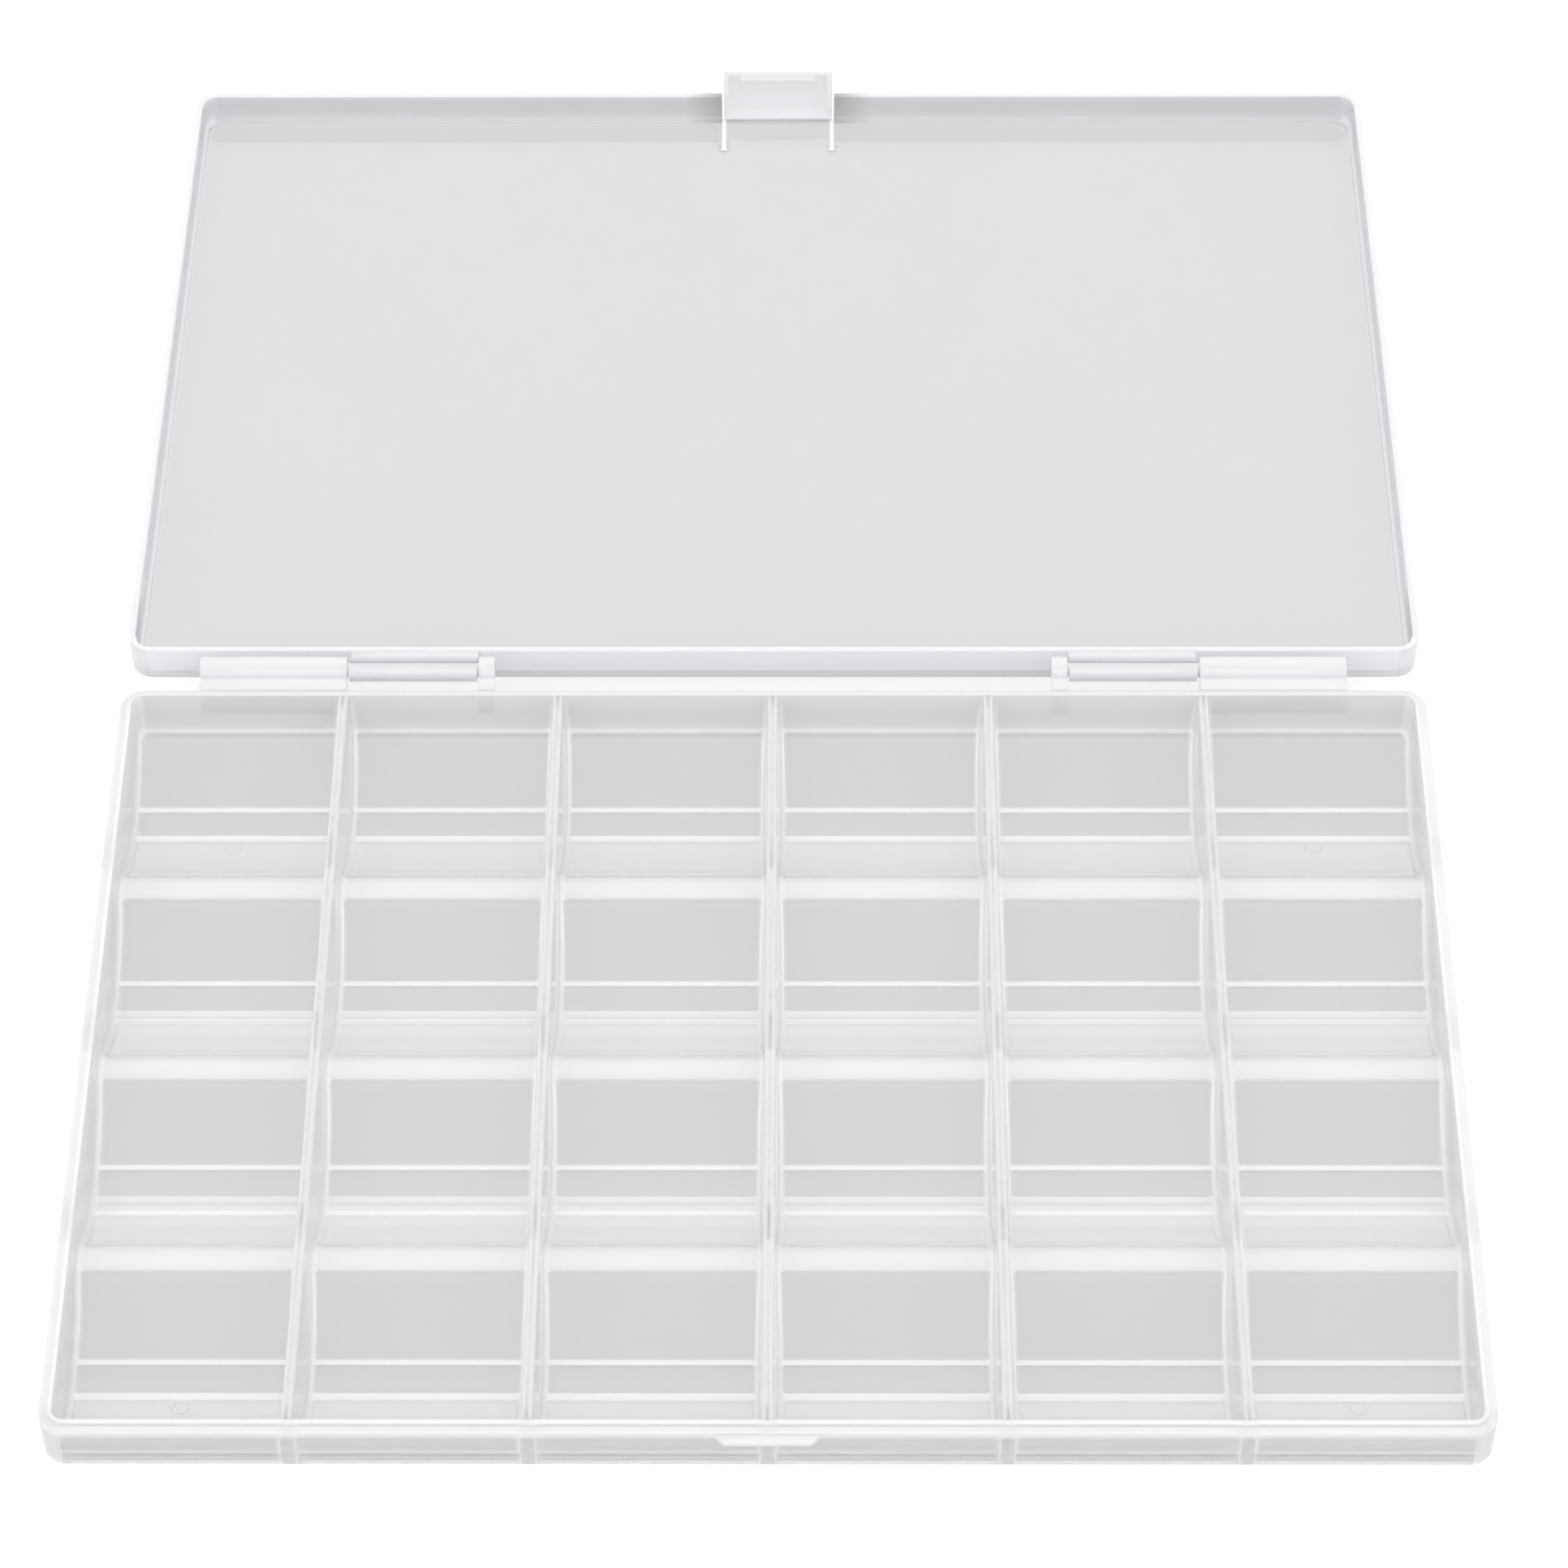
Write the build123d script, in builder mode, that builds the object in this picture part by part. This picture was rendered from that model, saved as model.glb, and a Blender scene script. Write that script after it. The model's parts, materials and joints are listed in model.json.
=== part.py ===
from build123d import *
from math import asin, atan2, cos, degrees, hypot, radians, sin
import os

os.makedirs("parts", exist_ok=True)

# A flat compartment box for beads and small parts, moulded in clear plastic, shown open.
# All sizes are in millimetres. The table is the plane z = 0 and the origin is on it,
# at the centre of the open box's footprint. The lid opens away from the front, towards +Y.

# The whole box
box_length = 195.0
box_depth = 132.0
corner_radius = 3.5
lid_height = 6.4  # from the parting plane to the lid's outer face

# Compartments: rows are round-bottomed troughs along X, columns are upright dividers
columns = 6
rows = 4
cell_depth = 11.9  # from the parting plane to the lowest line of a trough
ridge_drop = 6.2  # from the parting plane to the top of the ridges between troughs
floor_thickness = 1.1
foot_width = 5.6
foot_height = 0.3
ridge_round = 1.5  # radius along both edges of a ridge
divider_top = 1.4
divider_base = 2.6
divider_round = 0.5

# Rim of the base, with a lip that the lid's walls go round
lip_thickness = 0.7
lip_height = 0.8
lid_wall = 0.95
lid_clearance = 0.25
lid_panel = 1.2
lid_edge_radius = 0.8
seat_gap = 0.2

# Hinges: a pin on the base carries an open clip on the lid
hinge_offset = 4.1  # from the outer face of the rear walls to the axis of the hinge
hinge_inset = 11.6  # from the side of the box to the outer end of a hinge
hinge_length = 44.2
hinge_block_length = 22.0
hinge_ear_length = 2.4
hinge_end_gap = 0.3
knuckle_radius = 1.9
pin_radius = 1.0
pin_clearance = 0.05
clip_mouth = 1.5
web_drop = 4.6

# Catch on the base and the latch flap on the lid
catch_root = 14.5
catch_tip = 11.5
catch_reach = 1.3
catch_thickness = 1.0
catch_bevel = 0.4
latch_width = 18.2
latch_thickness = 0.9
latch_gap = 0.25
latch_side_gap = 0.3
latch_root_inset = 0.6  # from the lid's front face back to the line that the flap turns on
latch_root_height = 1.1  # from the lid's outer face in to that line
hook_reach = 0.9
hook_height = 0.85
hook_width = 12.8
hook_land = 0.3
latch_lean = 7.0  # degrees that the flap stands outward at rest
slit_length = 8.0
slit_width = 0.7
slit_end_radius = 1.0

# Worked out from the sizes above
rim_height = cell_depth + floor_thickness + foot_height
shoulder = lid_wall + lid_clearance
wall = lip_thickness + shoulder
inner_length = box_length - 2 * wall
inner_depth = box_depth - 2 * wall
lip_length = box_length - 2 * shoulder
lip_depth = box_depth - 2 * shoulder
lip_radius = corner_radius - shoulder
cell_width = (inner_length - (columns - 1) * divider_top) / columns
column_pitch = cell_width + divider_top
row_pitch = box_depth / rows
band_height = ridge_drop + floor_thickness
trough_chord = row_pitch - 2 * wall
trough_sag = cell_depth - ridge_drop
trough_radius = trough_chord**2 / (8 * trough_sag) + trough_sag / 2
trough_axis = trough_radius - cell_depth
row_centres = [(row - (rows - 1) / 2) * row_pitch for row in range(rows)]
ridge_edges = [y + side * trough_chord / 2 for y in row_centres for side in (-1, 1)][1:-1]
divider_places = [(column - columns / 2) * column_pitch for column in range(1, columns)]

lid_front = hinge_offset + box_depth
lid_middle = hinge_offset + box_depth / 2
latch_root_y = lid_front - latch_root_inset
latch_root_z = latch_root_height - lid_height
plate_inner = latch_root_inset + catch_reach + latch_gap
plate_outer = plate_inner + latch_thickness
hook_start = catch_thickness + latch_gap - latch_root_z
latch_tip = hook_start + hook_height

# The open lid rests its far edge on the table, so it hangs a little below level
edge_y = lid_front - lid_edge_radius
edge_z = lid_height - lid_edge_radius
droop = degrees(asin((rim_height - lid_edge_radius) / hypot(edge_y, edge_z)) - atan2(edge_z, edge_y))


def turned(y, z, angle):
    """Turn the point y, z outward and down by an angle in degrees."""
    a = radians(angle)
    return y * cos(a) + z * sin(a), z * cos(a) - y * sin(a)


# The footprint reaches from the catch to the tip of the leaning latch
tip_y, tip_z = turned(plate_outer, latch_tip, latch_lean)
far_reach = turned(latch_root_y + tip_y, latch_root_z + tip_z, droop)[0]
front_reach = hinge_offset + box_depth + catch_reach
hinge_y = (front_reach - far_reach) / 2
base_middle = hinge_y - hinge_offset - box_depth / 2
root_y, root_z = turned(latch_root_y, latch_root_z, droop)

# Planes: flat ones look down, section ones look along X with height as their second axis
base_plane = Plane(origin=(0, base_middle, rim_height))
base_section = Plane(origin=(0, base_middle, rim_height), x_dir=(0, 1, 0), z_dir=(1, 0, 0))
divider_end = Plane(origin=(0, base_middle, rim_height), x_dir=(1, 0, 0), z_dir=(0, -1, 0))
hinge_section = Plane(origin=(0, hinge_y, rim_height), x_dir=(0, 1, 0), z_dir=(1, 0, 0))
lid_out = (0, *turned(1, 0, droop))
lid_up = (0, *turned(0, 1, droop))
lid_plane = Plane(origin=(0, hinge_y, rim_height), x_dir=(1, 0, 0), z_dir=lid_up)
lid_section = Plane(origin=(0, hinge_y, rim_height), x_dir=lid_out, z_dir=(1, 0, 0))
latch_section = Plane(
    origin=(0, hinge_y + root_y, rim_height + root_z),
    x_dir=(0, *turned(1, 0, droop + latch_lean)),
    z_dir=(1, 0, 0),
)

HANG = (Align.CENTER, Align.MAX)
STAND = (Align.CENTER, Align.MIN)


def finish(part, name):
    """Name a finished piece and write it."""
    part.label = name
    export_step(part, f"parts/{name}.step")


def rounded_slice(length, depth, radius, centre, size, middle=0):
    """Sketch the share of a rounded rectangle that lies in one rectangular window."""
    with Locations((0, middle)):
        RectangleRounded(length, depth, radius)
    with Locations((centre[0], centre[1] + middle)):
        Rectangle(*size, mode=Mode.INTERSECT)


def undersides(centres):
    """Sketch the outside of the troughs and the feet under them, up to the ridges."""
    with Locations(*[(y, trough_axis) for y in centres]):
        Circle(trough_radius + floor_thickness)
    with Locations((0, -ridge_drop)):
        Rectangle(box_depth, rim_height, align=HANG, mode=Mode.INTERSECT)
    with Locations(*[(y, -rim_height) for y in centres]):
        Rectangle(foot_width, foot_height + floor_thickness, align=STAND)


def round_ridges(edges):
    """Round the corners of a sketch that lie on some edges of the ridges."""
    fillet([vertices().sort_by_distance((y, -ridge_drop))[0] for y in edges], ridge_round)


# Troughs: each is one row of the floor, from the middle of one ridge to the next
for row, y in enumerate(row_centres):
    with BuildPart() as trough:
        with BuildSketch(base_section.offset(-inner_length / 2)):
            undersides([y])
            with Locations((y, -ridge_drop)):
                Rectangle(row_pitch, floor_thickness, align=HANG)
                Rectangle(row_pitch, rim_height, align=HANG, mode=Mode.INTERSECT)
            with Locations((y, trough_axis)):
                Circle(trough_radius, mode=Mode.SUBTRACT)
            round_ridges([edge for edge in ridge_edges if abs(edge - y) < row_pitch / 2])
        extrude(amount=inner_length)
        with BuildSketch(base_plane.offset(-rim_height)):
            RectangleRounded(box_length, box_depth, corner_radius)
        extrude(amount=rim_height, mode=Mode.INTERSECT)
    finish(trough.part, f"trough_{row + 1}")

# End walls: they close the troughs, so their lower edge follows the troughs' undersides
for side, name in ((-1, "left_end_wall"), (1, "right_end_wall")):
    window = (side * (box_length - wall) / 2, 0)
    with BuildPart() as end_wall:
        with BuildSketch(base_section.offset(min(side * box_length, side * inner_length) / 2)):
            undersides(row_centres)
            Rectangle(box_depth, band_height, align=HANG)
        extrude(amount=wall)
        with BuildSketch(base_plane.offset(-rim_height)):
            RectangleRounded(box_length, box_depth, corner_radius)
        extrude(amount=rim_height, mode=Mode.INTERSECT)
        with BuildSketch(base_plane):
            rounded_slice(lip_length, lip_depth, lip_radius, window, (wall, box_depth))
        extrude(amount=lip_height)
    finish(end_wall.part, name)

# Front and rear walls stand on the outermost ridges
for side, name in ((-1, "front_wall"), (1, "rear_wall")):
    window = (0, side * (box_depth - wall) / 2)
    with BuildPart() as long_wall:
        with BuildSketch(base_plane.offset(-ridge_drop)):
            rounded_slice(box_length, box_depth, corner_radius, window, (inner_length, wall))
        extrude(amount=ridge_drop)
        with BuildSketch(base_plane):
            rounded_slice(lip_length, lip_depth, lip_radius, window, (inner_length, wall))
        extrude(amount=lip_height)
    finish(long_wall.part, name)

# Column dividers: thicker towards the floor, with a lower edge that fits the troughs
for column, x in enumerate(divider_places):
    with BuildPart() as divider:
        with BuildSketch(base_section.offset(x - divider_base / 2)):
            with Locations(*[(y, trough_axis) for y in row_centres]):
                Circle(trough_radius)
            with Locations((0, -ridge_drop)):
                Rectangle(inner_depth, cell_depth, align=HANG, mode=Mode.INTERSECT)
                Rectangle(inner_depth, ridge_drop + lip_height, align=STAND)
            round_ridges(ridge_edges)
        extrude(amount=divider_base)
        with BuildSketch(divider_end.offset(-inner_depth / 2)):
            Polygon(
                (x - divider_top / 2, lip_height),
                (x + divider_top / 2, lip_height),
                (x + divider_base / 2, -cell_depth),
                (x - divider_base / 2, -cell_depth),
                align=None,
            )
            fillet(vertices().group_by(Axis.Y)[-1], divider_round)
        extrude(amount=inner_depth, mode=Mode.INTERSECT)
    finish(divider.part, f"divider_{column + 1}")

# Catch: a small ledge that narrows outward, bevelled where the latch rides over it
with BuildPart() as catch:
    with BuildSketch(base_plane.offset(-catch_thickness)):
        with Locations((0, -box_depth / 2)):
            Polygon(
                (-catch_root / 2, 0),
                (-catch_tip / 2, -catch_reach),
                (catch_tip / 2, -catch_reach),
                (catch_root / 2, 0),
                align=None,
            )
    extrude(amount=catch_thickness)
    chamfer(catch.edges().group_by(Axis.Y)[0].sort_by(Axis.Z)[-1], catch_bevel)
finish(catch.part, "front_catch")

# Hinges: on each side a solid block, a pin and an end ear on the base, and a clip on the lid
hinge_outer = box_length / 2 - hinge_inset
hinge_inner = hinge_outer - hinge_length
block_inner = hinge_outer - hinge_block_length
clip_inner = hinge_inner + hinge_ear_length + hinge_end_gap
clip_outer = block_inner - hinge_end_gap


def span(side, inner, outer):
    """Give the lower end and the length of a stretch along X on one side of the box."""
    return min(side * inner, side * outer), outer - inner


for side, name in ((-1, "left"), (1, "right")):
    with BuildPart() as base_hinge:
        for inner, outer in ((block_inner, hinge_outer), (hinge_inner, hinge_inner + hinge_ear_length)):
            start, length = span(side, inner, outer)
            with BuildSketch(hinge_section.offset(start)):
                Circle(knuckle_radius)
                Polygon(
                    (-hinge_offset, 0),
                    (0, 0),
                    (0, -knuckle_radius),
                    (-hinge_offset, -web_drop),
                    align=None,
                )
            extrude(amount=length)
        start, length = span(side, hinge_inner, block_inner)
        with BuildSketch(hinge_section.offset(start)):
            Circle(pin_radius)
        extrude(amount=length)
    finish(base_hinge.part, f"base_hinge_{name}")

    start, length = span(side, clip_inner, clip_outer)
    with BuildPart() as lid_clip:
        with BuildSketch(lid_section.offset(start)):
            Circle(knuckle_radius)
            Polygon(
                (hinge_offset, -seat_gap),
                (hinge_offset, -web_drop),
                (0, -knuckle_radius),
                (0, -seat_gap),
                align=None,
            )
            Circle(pin_radius + pin_clearance, mode=Mode.SUBTRACT)
            Rectangle(clip_mouth, 2 * knuckle_radius, align=STAND, mode=Mode.SUBTRACT)
        extrude(amount=length)
    finish(lid_clip.part, f"lid_hinge_clip_{name}")

# Lid panel: slits and a notch at its front edge free the latch
notch_half = latch_width / 2 + latch_side_gap
notch_depth = latch_root_inset + latch_thickness / 2 + latch_gap
slit_x = notch_half - slit_width / 2
with BuildPart() as panel:
    with BuildSketch(lid_plane.offset(-lid_height)):
        with Locations((0, lid_middle)):
            RectangleRounded(box_length, box_depth, corner_radius)
    extrude(amount=lid_panel)
    outer_face = panel.faces().filter_by(lambda face: face.normal_at().dot(lid_plane.z_dir) < -0.99)[0]
    fillet(outer_face.edges(), lid_edge_radius)
    with BuildSketch(lid_plane.offset(-lid_height)):
        with Locations((0, lid_front)):
            Rectangle(2 * notch_half, notch_depth, align=HANG)
        with Locations((-slit_x, lid_front), (slit_x, lid_front)):
            Rectangle(slit_width, slit_length, align=HANG)
        with Locations((-slit_x, lid_front - slit_length), (slit_x, lid_front - slit_length)):
            Circle(slit_end_radius)
    extrude(amount=lid_panel, mode=Mode.SUBTRACT)
finish(panel.part, "lid_panel")

# Lid walls stand on the panel. The side walls take the round corners, and the front wall
# stops either side of the latch.
long_middle = (box_depth - lid_wall) / 2
side_middle = (box_length - corner_radius) / 2
straight_half = box_length / 2 - corner_radius
front_length = straight_half - notch_half
lid_walls = {
    "lid_rear_wall": ((0, -long_middle), (2 * straight_half, lid_wall)),
    "lid_left_wall": ((-side_middle, 0), (corner_radius, box_depth)),
    "lid_right_wall": ((side_middle, 0), (corner_radius, box_depth)),
    "lid_front_wall_left": ((-notch_half - front_length / 2, long_middle), (front_length, lid_wall)),
    "lid_front_wall_right": ((notch_half + front_length / 2, long_middle), (front_length, lid_wall)),
}
for name, (window, size) in lid_walls.items():
    with BuildPart() as lid_side:
        with BuildSketch(lid_plane.offset(lid_panel - lid_height)):
            rounded_slice(box_length, box_depth, corner_radius, window, size, middle=lid_middle)
            with Locations((0, lid_middle)):
                RectangleRounded(
                    box_length - 2 * lid_wall,
                    box_depth - 2 * lid_wall,
                    corner_radius - lid_wall,
                    mode=Mode.SUBTRACT,
                )
        extrude(amount=lid_height - lid_panel - seat_gap)
    finish(lid_side.part, name)

# Latch flap: a strap from its root, a front plate with side flanges, and a hook inside its tip
with BuildPart() as latch:
    with BuildSketch(latch_section.offset(-latch_width / 2)):
        Circle(latch_thickness / 2)
        with Locations((0, 0)):
            Rectangle(plate_outer, latch_thickness, align=(Align.MIN, Align.CENTER))
        with Locations((plate_inner, -latch_thickness / 2)):
            Rectangle(latch_thickness, latch_tip + latch_thickness / 2, align=(Align.MIN, Align.MIN))
    extrude(amount=latch_width)
    for start in (-latch_width / 2, latch_width / 2 - latch_thickness):
        with BuildSketch(latch_section.offset(start)):
            with Locations((latch_root_inset + latch_gap, 0)):
                Rectangle(plate_inner - latch_root_inset - latch_gap, latch_tip, align=(Align.MIN, Align.MIN))
        extrude(amount=latch_thickness)
    with BuildSketch(latch_section.offset(-hook_width / 2)):
        Polygon(
            (plate_inner, hook_start),
            (plate_inner, latch_tip),
            (plate_inner - hook_reach, hook_start + hook_land),
            (plate_inner - hook_reach, hook_start),
            align=None,
        )
    extrude(amount=hook_width)
finish(latch.part, "latch_flap")
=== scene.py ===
# %% [markdown]
# # A clear compartment box
# The real object is a shallow box for beads and small parts, moulded in clear plastic and lying
# open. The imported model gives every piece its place. This lesson dresses it: two moulded trays
# are built again with the soft edges and fillets that a mould gives, the small hinge and latch
# pieces get a fine bevel, and clear plastics of a few strengths, all a little milky, cover them.

# %% Load the fixed frame
import json
import math

import bmesh
import bpy
from mathutils import Matrix, Vector

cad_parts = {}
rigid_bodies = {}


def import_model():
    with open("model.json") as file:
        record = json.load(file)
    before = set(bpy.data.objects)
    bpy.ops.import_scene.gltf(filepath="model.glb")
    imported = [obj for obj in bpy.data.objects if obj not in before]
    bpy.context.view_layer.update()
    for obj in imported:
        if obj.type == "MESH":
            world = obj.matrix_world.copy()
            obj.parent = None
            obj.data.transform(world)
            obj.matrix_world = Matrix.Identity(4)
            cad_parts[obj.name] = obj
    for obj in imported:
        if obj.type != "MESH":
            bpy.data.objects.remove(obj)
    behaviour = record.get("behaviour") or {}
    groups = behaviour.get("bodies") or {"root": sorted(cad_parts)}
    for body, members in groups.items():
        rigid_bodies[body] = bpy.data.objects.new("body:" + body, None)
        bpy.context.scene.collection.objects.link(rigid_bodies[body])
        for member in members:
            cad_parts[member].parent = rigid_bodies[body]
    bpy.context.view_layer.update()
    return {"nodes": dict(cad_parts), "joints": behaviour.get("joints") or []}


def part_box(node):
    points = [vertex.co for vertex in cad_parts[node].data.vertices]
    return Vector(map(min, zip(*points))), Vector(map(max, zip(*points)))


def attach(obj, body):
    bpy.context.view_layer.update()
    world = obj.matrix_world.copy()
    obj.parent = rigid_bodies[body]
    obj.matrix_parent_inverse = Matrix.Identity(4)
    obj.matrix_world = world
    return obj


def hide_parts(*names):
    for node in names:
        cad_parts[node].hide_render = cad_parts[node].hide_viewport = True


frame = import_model()
MM = 0.001
SAME = 0.0001 * MM  # distances closer than this count as equal


hinge_joint = next(joint for joint in frame["joints"] if joint["name"] == "lid_hinge")
hinge = Vector(hinge_joint["pos_m"])
droop = math.radians(hinge_joint["range_deg"][1] - 180)
print("hinge at", hinge[:], "droop", round(math.degrees(droop), 2))

# %% [markdown]
# ## Sizes
# A visual piece has to sit exactly where the solid model is, so the sizes are read from the
# frame where a node shows them, and the few others are written once, in millimetres.

# %% Sizes of both mouldings
# Read from the frame
front_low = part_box("front_wall")[0]
rear_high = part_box("rear_wall")[1]
end_low, end_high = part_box("left_end_wall")
rim = hinge.z
box_length = -2 * end_low.x
box_depth = rear_high.y - front_low.y
base_middle = (rear_high.y + front_low.y) / 2
hinge_offset = hinge.y - rear_high.y
lip_height = end_high.z - rim

# The base
columns, rows = 6, 4
corner_radius = 3.5 * MM
wall = 1.9 * MM
cell_depth = 11.9 * MM
ridge_drop = 6.2 * MM
ridge_round = 1.5 * MM
floor_thickness = 1.1 * MM
foot_half = 2.8 * MM
divider_top = 1.4 * MM
divider_base = 2.6 * MM

# The lid
lid_height = 6.4 * MM
lid_panel = 1.2 * MM
lid_wall = 0.95 * MM
seat_gap = 0.2 * MM
print("base", round(box_length / MM, 2), "by", round(box_depth / MM, 2), "mm")
print("rim", round(rim / MM, 2), "mm above the table")

# %% [markdown]
# ## A tray from two profiles
# Both mouldings are trays: a floor, walls that go round, and a thickness. Such a shape could be
# made by extruding and bevelling, but every bevel of a tray with 24 cells would then be a risk.
# Here one profile runs across the box and one along it, and a rule makes the surface: the
# height of a point is the floor there plus a share of the way up to the rim. The rim's own
# profile is a list of steps outward from the centre of the corner arcs, used both ways, which
# makes the round corners by itself. Geometry Nodes samples both profiles on a grid.

# %% Helpers that build a node tree
def add_node(tree, kind, inputs=(), **settings):
    """Add a node, set its properties and fill its inputs with values or links."""
    node = tree.nodes.new(kind)
    for name, value in settings.items():
        setattr(node, name, value)
    free = [socket for socket in node.inputs if socket.enabled]
    named = {socket.name: socket for socket in reversed(free)}
    pairs = inputs.items() if isinstance(inputs, dict) else enumerate(inputs)
    for key, value in pairs:
        socket = free[key] if isinstance(key, int) else named[key]
        if isinstance(value, bpy.types.NodeSocket):
            tree.links.new(value, socket)
        else:
            socket.default_value = value
    return node


def out(node, name=None):
    """Give the node's live output, by name if there are more."""
    live = [socket for socket in node.outputs if socket.enabled]
    return next(socket for socket in live if name in (None, socket.name))


def maths(tree, operation, *values):
    """Add a maths node and give its output."""
    return out(add_node(tree, "ShaderNodeMath", values, operation=operation))


def open_tree(name, kind, sockets):
    """Start a node tree with named inputs and outputs."""
    tree = bpy.data.node_groups.new(name, kind)
    for direction, socket_name, socket_type, default in sockets:
        socket = tree.interface.new_socket(name=socket_name, in_out=direction, socket_type=socket_type)
        if default is not None:
            socket.default_value = default
    return tree, tree.nodes.new("NodeGroupInput").outputs, tree.nodes.new("NodeGroupOutput").inputs


# %% The tray tree reads its profiles
# A profile point holds three vectors. Across the box the first is its place, the lean of the
# side and its share; along the box it is the share, the place and the floor. The second is the
# height of the rim there, how far the underside is lifted and the milkiness. The third starts
# with the underside.
tray, given, made = open_tree("moulded_tray", "GeometryNodeTree", [
    ("INPUT", "Across", "NodeSocketObject", None),
    ("INPUT", "Along", "NodeSocketObject", None),
    ("INPUT", "Corner X", "NodeSocketFloat", 0.09),
    ("INPUT", "Corner Y", "NodeSocketFloat", 0.06),
    ("INPUT", "Rim Height", "NodeSocketFloat", 0.0),
    ("INPUT", "Weld", "NodeSocketFloat", 0.00001),
    ("INPUT", "Finish", "NodeSocketMaterial", None),
    ("INPUT", "Edge Finish", "NodeSocketMaterial", None),
    ("INPUT", "Edge From", "NodeSocketFloat", 0.63),
    ("OUTPUT", "Geometry", "NodeSocketGeometry", None),
])
tray.is_modifier = True


def profile_reader(source):
    """Give a profile's number of points and a way to read one by its index."""
    mesh = out(add_node(tray, "GeometryNodeObjectInfo", {"Object": source}), "Geometry")
    size = add_node(tray, "GeometryNodeAttributeDomainSize", [mesh], component="MESH")
    fields = [out(add_node(tray, "GeometryNodeInputPosition"))]
    for name in ("edge", "below"):
        named = add_node(tray, "GeometryNodeInputNamedAttribute", {"Name": name}, data_type="FLOAT_VECTOR")
        fields.append(out(named, "Attribute"))

    def read(index_socket):
        """Give the nine numbers of one point."""
        found = []
        for field in fields:
            sampled = add_node(tray, "GeometryNodeSampleIndex", {
                "Geometry": mesh, "Value": field, "Index": index_socket},
                data_type="FLOAT_VECTOR", domain="POINT")
            found += list(add_node(tray, "ShaderNodeSeparateXYZ", [out(sampled)]).outputs)
        return found

    return out(size, "Point Count"), read


across_count, read_across = profile_reader(given["Across"])
along_count, read_along = profile_reader(given["Along"])
grid = add_node(tray, "GeometryNodeMeshGrid", {"Vertices X": across_count, "Vertices Y": along_count})
index = out(add_node(tray, "GeometryNodeInputIndex"))
column = out(add_node(tray, "FunctionNodeIntegerMath", [index, along_count], operation="DIVIDE_FLOOR"))
row = out(add_node(tray, "FunctionNodeIntegerMath", [index, along_count], operation="MODULO"))
x, draft, share_x, top_x, lift_x, milk_x, _, _, _ = read_across(column)
share_y, y, floor, top_y, lift_y, milk_y, under, _, _ = read_along(row)
print("the tray tree reads two profiles with", len(tray.nodes), "nodes")


# %% The tray's round corners and heights
def beyond_arc(value, limit):
    """Give how far a place lies beyond the centre of the corner arcs."""
    return maths(tray, "MAXIMUM", maths(tray, "SUBTRACT", maths(tray, "ABSOLUTE", value), limit), 0.0)


# A column's place on a round corner follows from how far out the column and the row lie
beyond_x = beyond_arc(x, given["Corner X"])
beyond_y = beyond_arc(y, given["Corner Y"])
row_leads = maths(tray, "GREATER_THAN", beyond_y, maths(tray, "ADD", beyond_x, SAME))
column_leads = maths(tray, "GREATER_THAN", beyond_x, maths(tray, "ADD", beyond_y, SAME))
squares = maths(tray, "SUBTRACT", maths(tray, "POWER", beyond_x, 2.0), maths(tray, "POWER", beyond_y, 2.0))
arc = maths(tray, "MULTIPLY", column_leads, maths(tray, "SQRT", maths(tray, "MAXIMUM", squares, 0.0)))
inner_x = maths(tray, "MINIMUM", maths(tray, "ABSOLUTE", x), given["Corner X"])
placed_x = maths(tray, "MULTIPLY", maths(tray, "SIGN", x), maths(tray, "ADD", inner_x, arc))

# The rule for the heights: the side that lies further out leads, and a tie takes the lower one
lower = maths(tray, "MINIMUM", top_x, top_y)
from_column = out(add_node(tray, "GeometryNodeSwitch", [column_leads, lower, top_x], input_type="FLOAT"))
top = out(add_node(tray, "GeometryNodeSwitch", [row_leads, from_column, top_y], input_type="FLOAT"))
share = maths(tray, "MAXIMUM", share_x, share_y)
underside = maths(tray, "ADD", under, maths(tray, "MAXIMUM", lift_x, lift_y))
raised = maths(tray, "MULTIPLY_ADD", share, maths(tray, "SUBTRACT", top, floor), floor)
height = maths(tray, "MAXIMUM", raised, underside)

# A divider's sides move outward on their way down, but not inside the walls
rim_to_point = maths(tray, "SUBTRACT", given["Rim Height"], height)
below_rim = maths(tray, "MULTIPLY", rim_to_point, maths(tray, "SUBTRACT", 1.0, share_y))
drafted_x = maths(tray, "MULTIPLY_ADD", draft, below_rim, placed_x)

# %% The tray's milkiness, skins and finishes
FLOOR_SHARE = 0.1  # columns below this share lie on the floor
WALL_SHARE = 0.5  # rows above this share lie on a wall
DIVIDER_END = 0.6  # what is left of a divider's milkiness where it meets a wall
on_wall = maths(tray, "GREATER_THAN", share_y, WALL_SHARE)
fade = maths(tray, "MULTIPLY_ADD", on_wall, DIVIDER_END - 1.0, 1.0)
row_shows = maths(tray, "MAXIMUM", maths(tray, "LESS_THAN", share_x, FLOOR_SHARE), on_wall)
straight_milk = maths(
    tray, "MAXIMUM", maths(tray, "MULTIPLY", milk_x, fade), maths(tray, "MULTIPLY", milk_y, row_shows))
corner_milk = out(add_node(tray, "GeometryNodeSwitch", [column_leads, milk_y, milk_x], input_type="FLOAT"))
in_corner = maths(tray, "GREATER_THAN", maths(tray, "MINIMUM", beyond_x, beyond_y), SAME)
milk = out(add_node(tray, "GeometryNodeSwitch", [in_corner, straight_milk, corner_milk], input_type="FLOAT"))

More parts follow.
